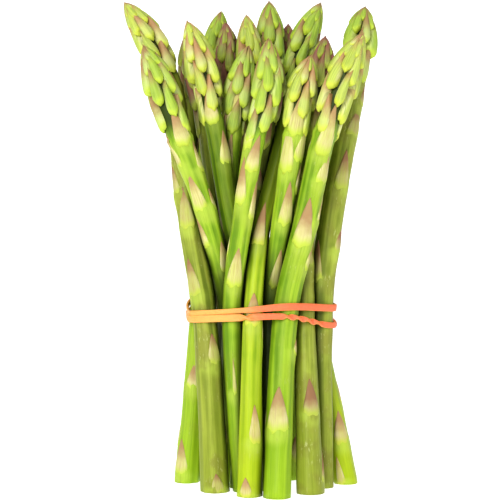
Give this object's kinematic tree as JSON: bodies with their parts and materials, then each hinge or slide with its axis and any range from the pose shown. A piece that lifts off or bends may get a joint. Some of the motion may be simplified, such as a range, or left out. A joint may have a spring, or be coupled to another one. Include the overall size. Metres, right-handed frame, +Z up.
{
  "type": "bundle of asparagus",
  "caption": "Bundle of green asparagus spears standing on their level cut ends, held at the waist by a rubber band wound round them.",
  "frame": {"origin": "middle of the bundle's footprint box, on the surface that it stands on", "axes": "+Z up along the spears, +X to the right and +Y to the back as seen from the front"},
  "size_m": [0.1118, 0.08, 0.217],
  "materials": {
    "green_stalk": "fresh green plant skin, satin, with cream and violet scale leaves",
    "bright_stalk": "fresh yellow-green plant skin, satin, with cream scale leaves",
    "olive_stalk": "fresh olive-green plant skin with a fine pale mottle, satin",
    "rubber_band": "orange natural rubber, matte"
  },
  "bodies": {
    "root": {"spear_left_tall": "olive_stalk", "spear_left_front": "green_stalk", "spear_left_pale": "bright_stalk", "spear_middle_left": "green_stalk", "spear_middle_front": "green_stalk", "spear_middle_bright": "bright_stalk", "spear_middle_short": "bright_stalk", "spear_right_leaning": "green_stalk", "spear_right_purple": "olive_stalk", "spear_right_tall": "olive_stalk", "spear_crossing_dark": "bright_stalk", "spear_back_left_bright": "green_stalk", "spear_left_slim": "olive_stalk", "spear_middle_yellow": "bright_stalk", "spear_middle_pink": "olive_stalk", "spear_left_dark": "olive_stalk", "spear_right_slim": "green_stalk", "spear_middle_dark": "olive_stalk", "spear_back_left": "green_stalk", "spear_back_middle": "bright_stalk", "spear_back_right": "green_stalk", "spear_back_far_right": "olive_stalk", "rubber_band": "rubber_band"}
  },
  "joints": []
}
